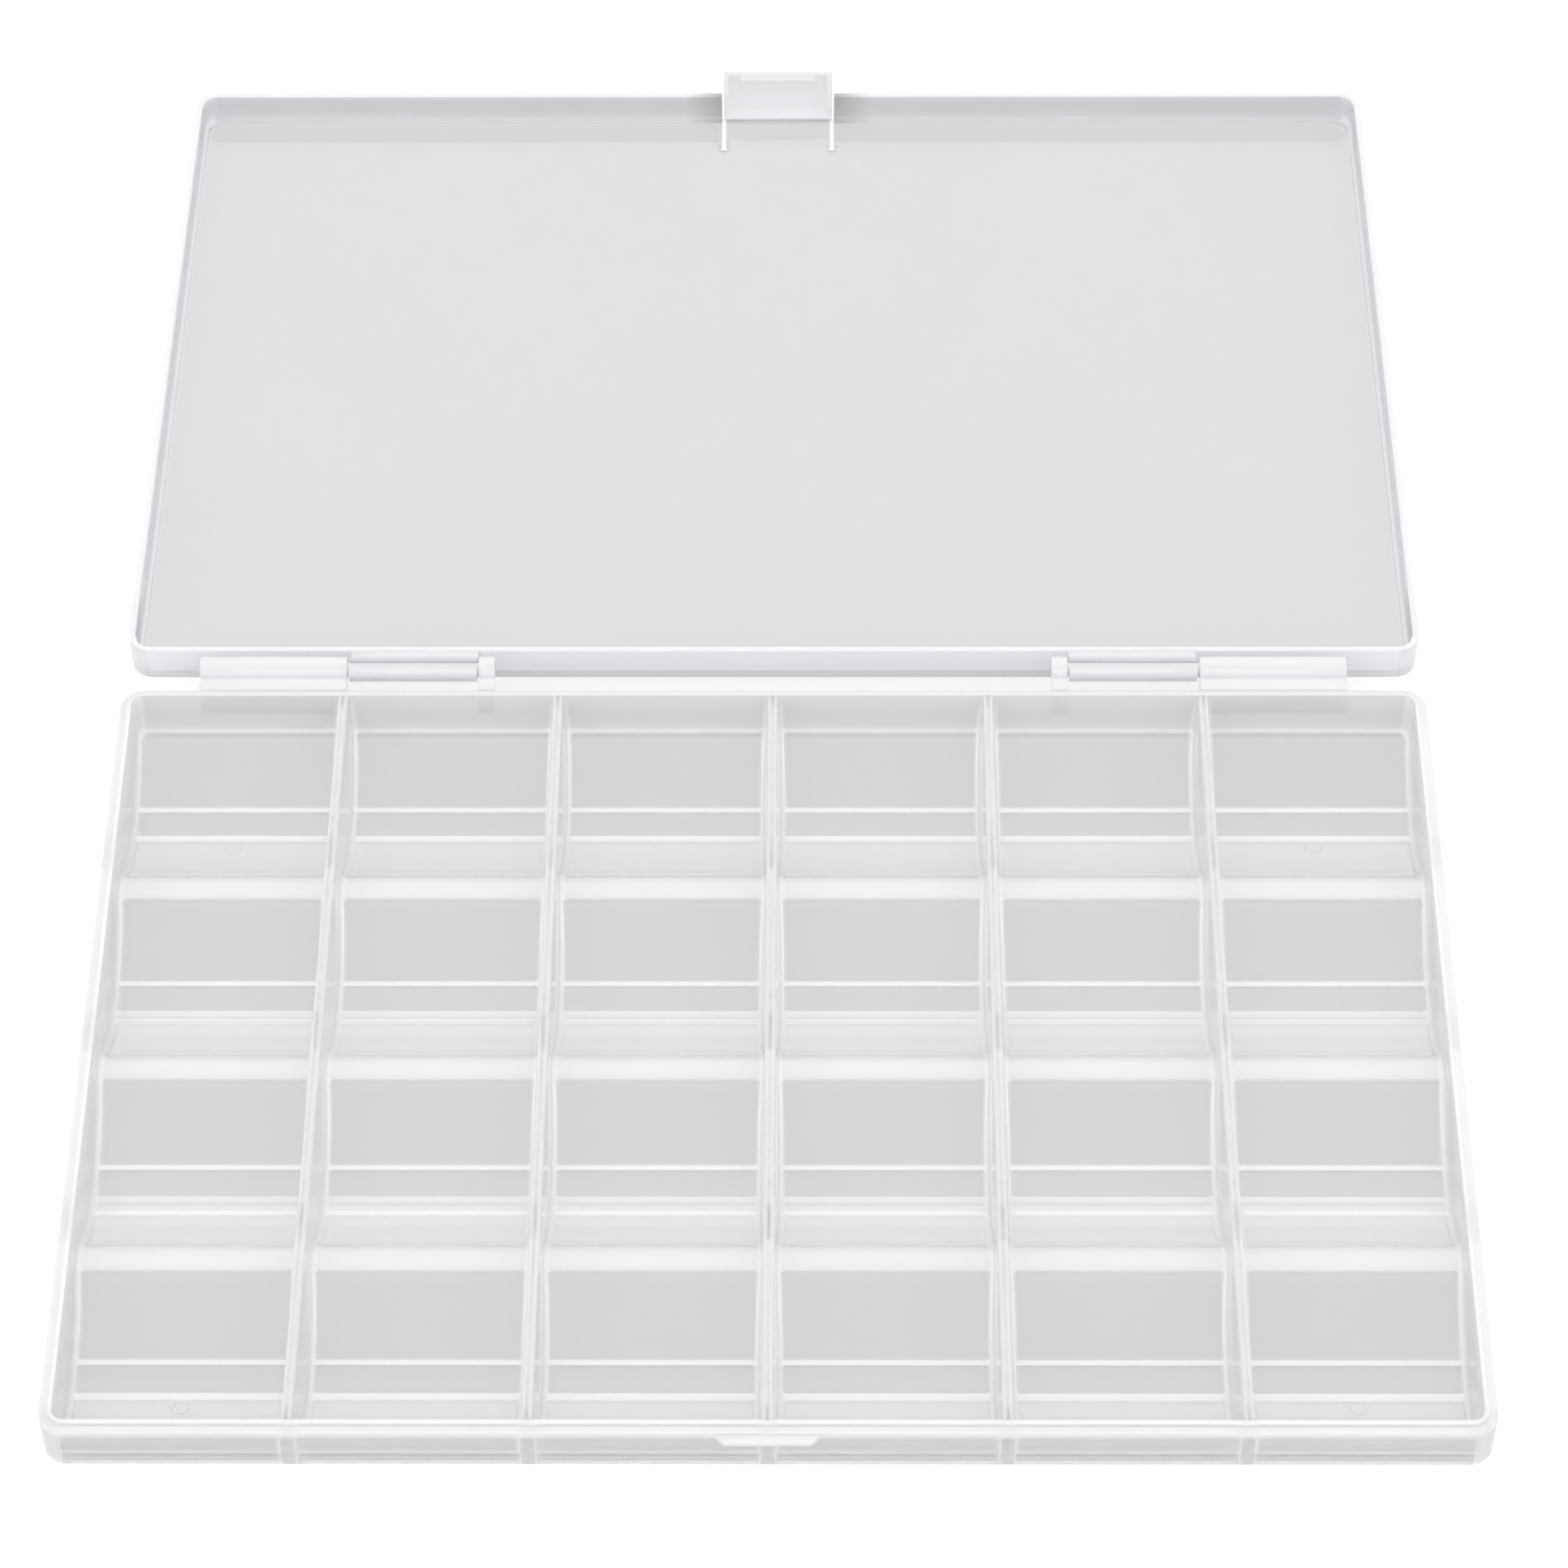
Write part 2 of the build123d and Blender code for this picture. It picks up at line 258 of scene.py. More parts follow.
# The same grid makes the upper skin and the underside, which are welded along their outer edge
skins = []
for across_place, up in ((drafted_x, height), (placed_x, underside)):
    point = out(add_node(tray, "ShaderNodeCombineXYZ", [across_place, y, up]))
    skin = out(add_node(tray, "GeometryNodeSetPosition", {"Geometry": out(grid, "Mesh"), "Position": point}))
    skins.append(out(add_node(tray, "GeometryNodeStoreNamedAttribute", {
        "Geometry": skin, "Name": "milk", "Value": milk}, data_type="FLOAT", domain="POINT")))
skins[1] = out(add_node(tray, "GeometryNodeFlipFaces", [skins[1]]))
joined = add_node(tray, "GeometryNodeJoinGeometry")
for skin in skins:
    tray.links.new(skin, joined.inputs[0])
welded = add_node(tray, "GeometryNodeMergeByDistance", {"Geometry": out(joined), "Distance": given["Weld"]})
real = add_node(tray, "GeometryNodeRealizeInstances", [out(welded)])
sheets = add_node(tray, "GeometryNodeSetMaterial", {"Geometry": out(real), "Material": given["Finish"]})
stored_milk = add_node(tray, "GeometryNodeInputNamedAttribute", {"Name": "milk"}, data_type="FLOAT")
milky = maths(tray, "GREATER_THAN", out(stored_milk, "Attribute"), given["Edge From"])
finished = add_node(tray, "GeometryNodeSetMaterial", {
    "Geometry": out(sheets), "Selection": milky, "Material": given["Edge Finish"]})
tray.links.new(out(finished), made[0])
print("the whole tray tree has", len(tray.nodes), "nodes")

# %% Profiles and trays as objects
scratch = bpy.data.collections.new("profiles")
bpy.context.scene.collection.children.link(scratch)


def loose_points(name, corners):
    """Make an object whose mesh is loose points."""
    mesh = bpy.data.meshes.new(name)
    mesh.from_pydata(corners, [], [])
    holder = bpy.data.objects.new(name, mesh)
    scratch.objects.link(holder)
    return holder


def profile_object(name, points):
    """Make a profile: loose points that carry their second and third vector."""
    holder = loose_points(name, [point[0:3] for point in points])
    for start, label in ((3, "edge"), (6, "below")):
        vectors = holder.data.attributes.new(label, "FLOAT_VECTOR", "POINT")
        for slot, point in zip(vectors.data, points):
            slot.vector = point[start:start + 3]
    return holder


def plain_mesh(holder, name):
    """Apply an object's modifiers, drop the object and keep the result as a plain mesh."""
    holder.update_tag()
    bpy.context.view_layer.update()
    graph = bpy.context.evaluated_depsgraph_get()
    result = bpy.data.meshes.new_from_object(holder.evaluated_get(graph))
    source = holder.data
    bpy.data.objects.remove(holder)
    bpy.data.meshes.remove(source)
    result.name = name
    return result


def run_tree(name, tree, values):
    """Put a tree on an empty mesh, fill its inputs by their identifiers and keep the result."""
    holder = bpy.data.objects.new(name + "_tree", bpy.data.meshes.new(name + "_tree"))
    scratch.objects.link(holder)
    modifier = holder.modifiers.new("tree", "NODES")
    modifier.node_group = tree
    keys = {item.name: item.identifier for item in tree.interface.items_tree if item.in_out == "INPUT"}
    for label, value in values.items():
        modifier[keys[label]] = value
    return plain_mesh(holder, name)


def build_tray(name, across, along, rim_height, finish, edge_finish):
    """Run the tray tree on two profiles."""
    return run_tree(name, tray, {
        "Across": profile_object(name + "_across", across),
        "Along": profile_object(name + "_along", along),
        "Corner X": corner_x,
        "Corner Y": corner_y,
        "Rim Height": rim_height,
        "Finish": finish,
        "Edge Finish": edge_finish,
    })


# %% Finishing a mesh and showing it
SLIVER = 0.0002 * MM  # edges shorter than this are dropped
SMOOTH_BELOW = math.radians(35)


def tidy(mesh):
    """Drop a mesh's slivers, smooth its faces between sharp edges, and report it."""
    work = bmesh.new()
    work.from_mesh(mesh)
    bmesh.ops.dissolve_degenerate(work, dist=SLIVER, edges=work.edges)
    loose = sum(1 for edge in work.edges if not edge.is_manifold)
    volume = work.calc_volume(signed=True)
    work.to_mesh(mesh)
    work.free()
    mesh.shade_smooth()
    mesh.set_sharp_from_angle(angle=SMOOTH_BELOW)
    mesh.calc_loop_triangles()
    print(mesh.name, len(mesh.loop_triangles), "triangles,", loose, "open edges, volume",
          round(volume / MM ** 3), "mm3")
    return mesh


def show(name, mesh, body, replaced, finish):
    """Put a finished mesh in the scene on its body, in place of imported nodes."""
    piece = bpy.data.objects.new(name, mesh)
    bpy.context.scene.collection.objects.link(piece)
    if not mesh.materials:
        mesh.materials.append(finish)
    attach(piece, body)
    if replaced:
        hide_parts(*replaced)


# %% [markdown]
# ## The plastic
# Cheap clear boxes are never glass-clear. Light comes through thin sheets, while edges, ribs
# and thick spots scatter it and look almost white. A volume could do that, but it is slow and
# noisy. Here the tray tree has stored how milky each point is, with painted light on the front
# slopes and painted highlights along the troughs' feet, and the material mixes a thin and a
# thick colour by it. The thin colours are grey, partly the table's own grey and partly painted
# shade of the table seen through the sheets. A part of the light is scattered at the surface,
# and the rest goes through. Each moulding has two finishes, a clearer one for its sheets and a
# denser one for the faces that are milkier than the tree's Edge From. The small pieces are
# dense all over, apart from the middle of the latch.

# %% The haze that all the plastics share
FINE_SCALE = 900.0
SMOOTHEST, ROUGHEST = 0.035, 0.06
CLOUD_BUMP, FINE_BUMP = 0.8, 0.012
haze, haze_in, haze_out = open_tree("moulding_haze", "ShaderNodeTree", [
    ("INPUT", "Thin", "NodeSocketColor", None),
    ("INPUT", "Thick", "NodeSocketColor", None),
    ("INPUT", "Milk", "NodeSocketFloat", 0.0),
    ("INPUT", "Cloud Scale", "NodeSocketFloat", 30.0),
    ("INPUT", "Cloud Strength", "NodeSocketFloat", 0.02),
    ("OUTPUT", "Color", "NodeSocketColor", None),
    ("OUTPUT", "Roughness", "NodeSocketFloat", None),
    ("OUTPUT", "Height", "NodeSocketFloat", None),
])
place = out(add_node(haze, "ShaderNodeTexCoord"), "Object")
cloud = out(add_node(haze, "ShaderNodeTexNoise", {
    "Vector": place, "Scale": haze_in["Cloud Scale"], "Detail": 3.0, "Roughness": 0.55}))
fine = out(add_node(haze, "ShaderNodeTexNoise", {"Vector": place, "Scale": FINE_SCALE, "Detail": 2.0}))
drift = maths(haze, "MULTIPLY", maths(haze, "SUBTRACT", cloud, 0.5), haze_in["Cloud Strength"])
mixed = out(add_node(haze, "ShaderNodeMix", {
    "Factor": haze_in["Milk"], "A": haze_in["Thin"], "B": haze_in["Thick"]}, data_type="RGBA"))
shift = out(add_node(haze, "ShaderNodeCombineXYZ", [drift, drift, drift]))
tinted = out(add_node(haze, "ShaderNodeVectorMath", [mixed, shift], operation="ADD"))
gloss = out(add_node(haze, "ShaderNodeMapRange", {"Value": fine, "To Min": SMOOTHEST, "To Max": ROUGHEST}))
grain = maths(haze, "ADD", maths(haze, "MULTIPLY", cloud, CLOUD_BUMP),
              maths(haze, "MULTIPLY", fine, FINE_BUMP))
haze.links.new(tinted, haze_out["Color"])
haze.links.new(gloss, haze_out["Roughness"])
haze.links.new(grain, haze_out["Height"])
print("the haze group has", len(haze.nodes), "nodes")

# %% The plastics
PLASTIC_IOR = 1.49
BUMP_STRENGTH = 0.12
BUMP_DEPTH = 0.1 * MM
SHADOW_CLEAR = (0.9, 0.9, 0.9, 1)  # what a shadow ray keeps, so that the shadow stays pale


def plastic(name, thin, thick, clear_share, milk=None):
    """Make a clear plastic, as milky as the mesh says or the same all over."""
    material = bpy.data.materials.new(name)
    material.use_nodes = True
    tree = material.node_tree
    shader = tree.nodes["Principled BSDF"]
    group = tree.nodes.new("ShaderNodeGroup")
    group.node_tree = haze
    group.inputs["Thin"].default_value = (*thin, 1)
    group.inputs["Thick"].default_value = (*thick, 1)
    if milk is None:
        stored = add_node(tree, "ShaderNodeAttribute", attribute_name="milk")
        tree.links.new(out(stored, "Fac"), group.inputs["Milk"])
    else:
        group.inputs["Milk"].default_value = milk
    tree.links.new(group.outputs["Color"], shader.inputs["Base Color"])
    tree.links.new(group.outputs["Roughness"], shader.inputs["Roughness"])
    bump = add_node(tree, "ShaderNodeBump", {
        "Height": group.outputs["Height"], "Strength": BUMP_STRENGTH, "Distance": BUMP_DEPTH})
    tree.links.new(out(bump), shader.inputs["Normal"])
    shader.inputs["Transmission Weight"].default_value = clear_share
    shader.inputs["IOR"].default_value = PLASTIC_IOR
    light_path = tree.nodes.new("ShaderNodeLightPath")
    clear = add_node(tree, "ShaderNodeBsdfTransparent", {"Color": SHADOW_CLEAR})
    blend = add_node(tree, "ShaderNodeMixShader", [
        light_path.outputs["Is Shadow Ray"], shader.outputs[0], clear.outputs[0]])
    tree.links.new(out(blend), tree.nodes["Material Output"].inputs["Surface"])
    print(name, "lets", clear_share, "of the light through")
    return material


# The thin colours are partly painted shade of the table seen through, darker in the base's cells than under
# the lid
base_plastic = plastic("base_plastic", (0.69, 0.69, 0.69), (0.97, 0.97, 0.985), 0.65)
lid_plastic = plastic("lid_plastic", (0.725, 0.725, 0.73), (0.95, 0.95, 0.98), 0.82)
base_edge_plastic = plastic("base_edge_plastic", (0.5, 0.5, 0.5), (0.965, 0.965, 0.985), 0.35)
lid_edge_plastic = plastic("lid_edge_plastic", (0.5, 0.5, 0.52), (0.965, 0.96, 1.0), 0.3)
small_plastic = plastic("small_plastic", (0.85, 0.85, 0.86), (0.95, 0.95, 0.98), 0.3, milk=0.6)
latch_plastic = plastic("latch_plastic", (0.86, 0.86, 0.88), (0.95, 0.95, 0.98), 0.6, milk=0.3)

# %% [markdown]
# ## The base
# On the real box this is one moulding: four round-bottomed troughs, five dividers across them,
# walls and a stepped rim. Each could be a piece of its own, but then every joint between them
# would show through the clear plastic. In the tray, the profile across the box holds the
# dividers, which lean a little so that they leave the mould, and the one along it holds the
# troughs and the ridges.

# %% Measures that follow from the sizes
inner_length = box_length - 2 * wall
cell_width = (inner_length - (columns - 1) * divider_top) / columns
column_pitch = cell_width + divider_top
row_pitch = box_depth / rows
chord = row_pitch - 2 * wall
sag = cell_depth - ridge_drop
trough_radius = chord ** 2 / (8 * sag) + sag / 2
trough_axis = trough_radius - cell_depth
shell_radius = trough_radius + floor_thickness
full_height = cell_depth + lip_height
lean = (divider_base - divider_top) / 2 / full_height
corner_x = box_length / 2 - corner_radius
corner_y = box_depth / 2 - corner_radius
print("a cell is", round(cell_width / MM, 2), "mm wide")
print("a trough's radius is", round(trough_radius / MM, 2), "mm")

# %% The base's rim
# The rim is a list of steps outward from the centre of the corner arcs, each a distance, a
# share, the rim's height and the milkiness. The fillet's steps leave out the height, which is
# the lip's all the way, and the lip's steps leave out the share, which is 1.
FAR_DOWN = -1.0  # a rim height that takes a wall down to the underside
inner_face = 1.6 * MM
lip_out = corner_radius - 1.2 * MM
rim_round = 0.3 * MM
outer_from = 1.2 * MM  # how far below the rim the outer face's milkiness begins
outer_milk = 0.6
fillet = [(0.7 * MM, 0.0, 0.0), (1.0 * MM, 0.008, 0.9), (1.25 * MM, 0.028, 1.0), (1.45 * MM, 0.06, 1.0),
          (inner_face, 0.11, 0.95), (inner_face, 0.5, 0.95)]
lip = [(inner_face, lip_height - 0.15 * MM, 1.0), (1.7 * MM, lip_height, 1.0),
       (lip_out - 0.1 * MM, lip_height, 1.0), (lip_out, lip_height - 0.12 * MM, 1.0), (lip_out, 0.0, 0.95)]
lip += [(corner_radius - rim_round * (1 - math.sin(a)), -rim_round * (1 - math.cos(a)), 0.95)
        for a in (0, math.pi / 6, math.pi / 3, math.pi / 2)]
lip += [(corner_radius, -outer_from, outer_milk), (corner_radius, FAR_DOWN, outer_milk)]
base_rim = [(d, s, lip_height, m) for d, s, m in fillet] + [(d, 1.0, top_here, m) for d, top_here, m in lip]

# How milky the faces of the front wall (-1) and the rear wall (1) are
long_outer = {-1: 0.34, 1: outer_milk}
long_inner = {-1: 0.15, 1: 0.69}
inner_face_end = 1.65 * MM


def long_wall_milk(distance, milkiness, side):
    """The front wall is clearer than the others, and a long wall's inner face than its rim."""
    if milkiness == outer_milk:
        return long_outer[side]
    return milkiness if distance > inner_face_end else long_inner[side] * milkiness


# %% The base's profile across
half_top = divider_top / 2
round_top = 0.5 * MM
divider_side = [(half_top + d * MM, s, m) for d, s, m in (
    (2.2, 0.0, 0.0), (0.9, 0.0, 0.0), (0.5, 0.008, 0.95), (0.2, 0.03, 1.0), (0.0, 0.08, 0.95),
    (0.0, 0.12, 0.93), (0.0, 0.85, 0.93))]
divider_side += [(half_top, 1 - round_top / full_height, 0.95)]
divider_side += [
    (half_top - round_top * (1 - math.cos(a)), 1 - round_top * (1 - math.sin(a)) / full_height, m)
    for a, m in ((math.pi / 6, 0.95), (math.pi / 3, 0.8), (math.pi / 2, 0.55))]


def across_point(place_x, slope, share_here, top_here, lift, milkiness):
    """Give one point of a profile across the box."""
    return (place_x, slope, share_here, top_here, lift, milkiness, 0, 0, 0)


def rim_columns(steps, side):
    """Turn the rim's steps into points of the base's profile across, on one side."""
    return [across_point(side * (corner_x + d), 0, s, top_here, 0, m) for d, s, top_here, m in steps]


def divider_columns(centre):
    """Give one divider's points across the box."""
    left = [across_point(centre - d, -lean, s, lip_height, 0, m) for d, s, m in divider_side]
    right = [across_point(centre + d, lean, s, lip_height, 0, m) for d, s, m in reversed(divider_side)]
    return left + right


base_across = rim_columns(reversed(base_rim), -1)
base_across.append(across_point(-corner_x, 0, 0, lip_height, 0, 0))
for number in range(1, columns):
    base_across += divider_columns((number - columns / 2) * column_pitch)
base_across.append(across_point(corner_x, 0, 0, lip_height, 0, 0))
base_across += rim_columns(base_rim, 1)
print(len(base_across), "points across the base")

# %% The troughs' heights, milkiness and painted light
round_centre = math.sqrt((trough_radius + ridge_round) ** 2 - (trough_axis + ridge_drop + ridge_round) ** 2)
arc_end = round_centre * trough_radius / (trough_radius + ridge_round)
band_half = math.sqrt(shell_radius ** 2 - (trough_axis + ridge_drop + floor_thickness) ** 2)
ridge_milk = 0.8
rear_slope_milk = 0.12
foot_milk = 0.07


def arc_height(radius, offset):
    """Height of a trough's arc at a distance from its middle."""
    return trough_axis - math.sqrt(radius ** 2 - offset ** 2)


def floor_height(offset, at_wall):
    """Height of the floor at a distance from the middle of its trough."""
    if abs(offset) <= (chord / 2 if at_wall else arc_end):
        return arc_height(trough_radius, offset)
    if at_wall or abs(offset) >= round_centre:
        return -ridge_drop
    return -ridge_drop - ridge_round + math.sqrt(ridge_round ** 2 - (abs(offset) - round_centre) ** 2)


def under_height(offset, in_foot=False):
    """Height of the underside at a distance from the middle of its trough."""
    if in_foot:
        return -rim
    if abs(offset) >= band_half:
        return -ridge_drop - floor_thickness
    return arc_height(shell_radius, offset)


def trough_milk(offset, front_slope_light):
    """Ridges are milky, and the slope that rises towards the front is painted lighter, as light falls on it.
    """
    if abs(offset) > arc_end:
        return ridge_milk
    if offset < -foot_half:
        return front_slope_light
    return rear_slope_milk if offset > foot_half else foot_milk


# %% One trough's points
# A point here is its offset from the trough's middle, the underside and the milkiness, which holds painted
# light too
arc_degrees = range(-40, 41, 4)
foot_clear = 1.0 * MM
# The front row's slope is painted less light, as more light reaches it through the front wall
front_slope_lights = [0.4] + [0.62] * (rows - 1)  # painted light on each row's front slope, given as milkiness
highlight_half = {-1: 0.6 * MM, 1: 0.35 * MM}  # half widths of the painted highlights at a foot's front and rear edges
highlight_inside, highlight_outside = 0.94, 1.06  # where a painted highlight has faded, as shares of its edges' offsets
second_highlight = {1: -5.5 * MM, 2: -4.3 * MM}  # a fine painted highlight in front of the foot, in the middle rows
# The painted highlight at a foot's front edge is softer in the rows that have a second one
softer_highlight = 0.8
wall_foot_milk = 0.2


def foot_highlights(number, front_slope_light):
    """Give the points of the two painted highlights, bright lines along the edges of a trough's foot."""
    points = []
    # Each edge of the foot gets a painted highlight: milkiness up to 1 where light glances off the curved
    # floor
    for side, line in highlight_half.items():
        edge, inner, outer = side * foot_half, side * (foot_half - line), side * (foot_half + line)
        faded = outer * highlight_outside
        bright = softer_highlight if side < 0 and number in second_highlight else 1.0
        points += [(inner * highlight_inside, -rim, 0.0), (inner, -rim, bright), (edge, -rim, bright),
                   (edge, arc_height(shell_radius, edge), bright), (outer, under_height(outer), bright),
                   (faded, under_height(faded), trough_milk(faded, front_slope_light))]
    return points


def trough_points(number, middle):
    """Give one trough's points in their order from front to rear."""
    first, last = number == 0, number == rows - 1
    inner_end = corner_y - abs(middle)
    start = -inner_end if first else -row_pitch / 2
    end = inner_end if last else row_pitch / 2
    steps = [trough_radius * math.sin(math.radians(a)) for a in arc_degrees]
    for side in (-1, 1):
        steps += [side * step for step in (
            arc_end, arc_end + 0.3 * MM, arc_end + 0.65 * MM, round_centre, band_half, row_pitch / 2)]
    steps = sorted(step for step in steps
                   if start <= step <= end and abs(abs(step) - foot_half) > foot_clear)
    front_slope_light = front_slope_lights[number]
    points = [(step, under_height(step, abs(step) < foot_half), trough_milk(step, front_slope_light))
              for step in steps]
    points += foot_highlights(number, front_slope_light)
    # A second painted highlight, a fine bright line in front of the foot
    if number in second_highlight:
        centre = second_highlight[number]
        points += [(centre + d * MM, under_height(centre + d * MM), m) for d, m in (
            (-0.6, front_slope_light), (-0.4, 1.0), (0.4, 1.0), (0.6, front_slope_light))]
    if first or last:
        wall_foot = start if first else end
        points.append((wall_foot, under_height(wall_foot), wall_foot_milk))
    # The doubled points at a foot's edge step down towards the foot
    return sorted(points, key=lambda p: (round(p[0] / MM, 6), -p[1] if p[0] < 0 else p[1]))


# %% The base's profile along
def along_point(share_here, place_y, floor_here, top_here, lift, milkiness, under_here):
    """Give one point of a profile along the box."""
    return (share_here, place_y, floor_here, top_here, lift, milkiness, under_here, 0, 0)


def rim_rows(steps, side):
    """Turn the rim's steps into points of the base's profile along the box, at one end."""
    found = []
    for d, s, top_here, m in steps:
        offset = corner_y + d - (rows - 1) / 2 * row_pitch
        under_here = min(under_height(offset), -ridge_drop - floor_thickness)
        found.append(along_point(s, side * (corner_y + d), floor_height(offset, True), top_here, 0,
                                 long_wall_milk(d, m, side), under_here))
    return found


base_along = rim_rows(reversed(base_rim), -1)
for number in range(rows):
    middle = (number - (rows - 1) / 2) * row_pitch
    for offset, under_here, milkiness in trough_points(number, middle):
        at_wall = (number == 0 and offset < 0) or (number == rows - 1 and offset > 0)
        base_along.append(along_point(0, middle + offset, floor_height(offset, at_wall), lip_height, 0,
                                      milkiness, under_here))
base_along += rim_rows(base_rim, 1)
print(len(base_along), "points along the base")

# %% The base's mesh
base_mesh = build_tray("base_moulding", base_across, base_along, lip_height, base_plastic, base_edge_plastic)
base_mesh.transform(Matrix.Translation((0, base_middle, rim)))
base_nodes = [name for name in frame["nodes"] if name.startswith(("trough_", "divider_"))
              or name in ("front_wall", "rear_wall", "left_end_wall", "right_end_wall")]
show("base_moulding", tidy(base_mesh), "base", base_nodes, base_plastic)

# %% [markdown]
# ## The lid
# The lid is the same kind of tray with nothing in it, so the same tree makes it, in the lid's
# own place with its outer face down. The hinge then turns it to where it lies. A notch and two
# slits free the latch at its front edge. The profiles could hold them too, but only with a much
# finer grid all over the lid, so a boolean cuts them as a punch would.

# %% The lid's rim
# Steps as for the base. The first ones, up to the inner face, count inward from it
lid_floor = lid_panel - lid_height
lid_top = -seat_gap
inner_round = corner_radius - lid_wall
edge_round = 0.8 * MM
crest = 0.12 * MM
soft_edge = 0.15 * MM
lid_outer_milk = 0.86
lid_rim = [(inner_round - d * MM, s, lid_top, m) for d, s, m in (
    (1.0, 0.0, 0.1), (0.6, 0.03, 0.75), (0.3, 0.1, 0.9), (0.08, 0.2, 0.8), (0.0, 0.34, 0.5), (0.0, 0.7, 0.5))]
lid_rim += [(inner_round, 1.0, lid_top - soft_edge, 0.9), (inner_round + crest, 1.0, lid_top, 1.0)]
edge_steps = [corner_radius - edge_round * (1 - math.sin(math.radians(a))) for a in (0, 18, 36, 54, 72)]
lid_rim += [(d, 1.0, lid_top, 1.0) for d in edge_steps
            if inner_round + crest < d < corner_radius - soft_edge]
lid_rim += [(corner_radius - crest, 1.0, lid_top, 1.0), (corner_radius, 1.0, lid_top - soft_edge, 0.8)]
lid_rim += [(corner_radius, 1.0, lid_top - outer_from, lid_outer_milk),
            (corner_radius, 1.0, FAR_DOWN, lid_outer_milk)]

# How milky the faces of the wall at the hinges (-1) and of the lid's front wall (1) are. The outer face at
# the hinges is painted lighter, against the shade that the base's rear wall throws on it
lid_outer = {-1: 1.0, 1: 0.76}
lid_inner = {-1: 0.2, 1: 0.35}


def lid_wall_milk(distance, share_here, milkiness, side):
    """The lid's front wall is clearer than its end walls, and the wall at the hinges milkier, painted light
    on a face that the base shades.
    """
    if share_here < 1.0:
        return lid_inner[side] * milkiness
    return lid_outer[side] if distance == corner_radius else milkiness


def lift_at(distance):
    """How far the underside has curved up at a distance outward."""
    into = distance - (corner_radius - edge_round)
    return edge_round - math.sqrt(edge_round ** 2 - into ** 2) if into > 0 else 0.0


# %% The lid's profiles
steps_x, steps_y = 6, 4  # even steps from the panel's middle to the corner arcs
lid_across, lid_along = [], []
for side, steps in ((-1, list(reversed(lid_rim))), (1, lid_rim)):
    lid_across += [across_point(side * (corner_x + d), 0, s, top_here, lift_at(d), m)
                   for d, s, top_here, m in steps]
    lid_along += [along_point(s, side * (corner_y + d), lid_floor, top_here, lift_at(d),
                              lid_wall_milk(d, s, m, side), -lid_height) for d, s, top_here, m in steps]
    if side < 0:
        lid_across += [across_point(corner_x * step / steps_x, 0, 0, lid_top, 0, 0)
                       for step in range(-steps_x, steps_x + 1)]
        lid_along += [along_point(0, corner_y * step / steps_y, lid_floor, lid_top, 0, 0, -lid_height)
                      for step in range(-steps_y, steps_y + 1)]
print(len(lid_across), "points across the lid,", len(lid_along), "along it")

# %% The outline that frees the latch
latch_width = 18.2 * MM
latch_gap = 0.3 * MM
notch_half = latch_width / 2 + latch_gap
notch_depth = 1.3 * MM
slit_length = 8.0 * MM
slit_width = 0.7 * MM
slit_end_radius = 1.0 * MM
round_end_steps = 24
lid_front = hinge_offset + box_depth


def keyhole():
    """Outline the right slit with its round end, from the notch's side to its floor."""
    x_mid, y_end = notch_half - slit_width / 2, lid_front - slit_length
    start = math.asin(slit_width / 2 / slit_end_radius)
    sweep = 2 * math.pi - 2 * start
    angles = [start + sweep * step / round_end_steps for step in range(round_end_steps + 1)]
    ring = [(x_mid + slit_end_radius * math.sin(a), y_end + slit_end_radius * math.cos(a)) for a in angles]
    return [(notch_half, lid_front + MM)] + ring + [(notch_half - slit_width, lid_front - notch_depth)]


notch = keyhole()
notch += [(-px, py) for px, py in reversed(notch)]
print("the notch and its slits have", len(notch), "corners")


# %% Cutting the lid
def extruded(name, outline, bottom, ceiling, finish):
    """Make a closed prism from a flat outline, in a finish that the cut faces take over."""
    work = bmesh.new()
    face = work.faces.new([work.verts.new((px, py, bottom)) for px, py in outline])
    result = bmesh.ops.extrude_face_region(work, geom=[face])
    upper = [item for item in result["geom"] if isinstance(item, bmesh.types.BMVert)]
    bmesh.ops.translate(work, verts=upper, vec=(0, 0, ceiling - bottom))
    bmesh.ops.recalc_face_normals(work, faces=work.faces)
    mesh = bpy.data.meshes.new(name)
    work.to_mesh(mesh)
    work.free()
    mesh.materials.append(finish)
    return mesh


def cut_away(mesh, cutter_mesh):
    """Take a cutter's solid out of a mesh."""
    target = bpy.data.objects.new("cut_target", mesh)
    cutter = bpy.data.objects.new("cutter", cutter_mesh)
    for item in (target, cutter):
        scratch.objects.link(item)
    boolean = target.modifiers.new("cut", "BOOLEAN")
    boolean.operation = "DIFFERENCE"
    boolean.solver = "EXACT"
    boolean.object = cutter
    boolean.material_mode = "TRANSFER"
    result = plain_mesh(target, mesh.name)
    bpy.data.objects.remove(cutter)
    return result


# %% The lid's mesh
lid_place = Matrix.Translation(hinge) @ Matrix.Rotation(-droop, 4, "X")
lid_mesh = build_tray("lid_moulding", lid_across, lid_along, 0.0, lid_plastic, lid_edge_plastic)
lid_mesh.transform(Matrix.Translation((0, hinge_offset + box_depth / 2, 0)))
lid_mesh = cut_away(lid_mesh, extruded("latch_cut", notch, -lid_height - MM, MM, small_plastic))
lid_mesh.transform(lid_place)
lid_nodes = [name for name in frame["nodes"] if name.startswith("lid_") and "hinge" not in name]
show("lid_moulding", tidy(lid_mesh), "lid", lid_nodes, lid_plastic)

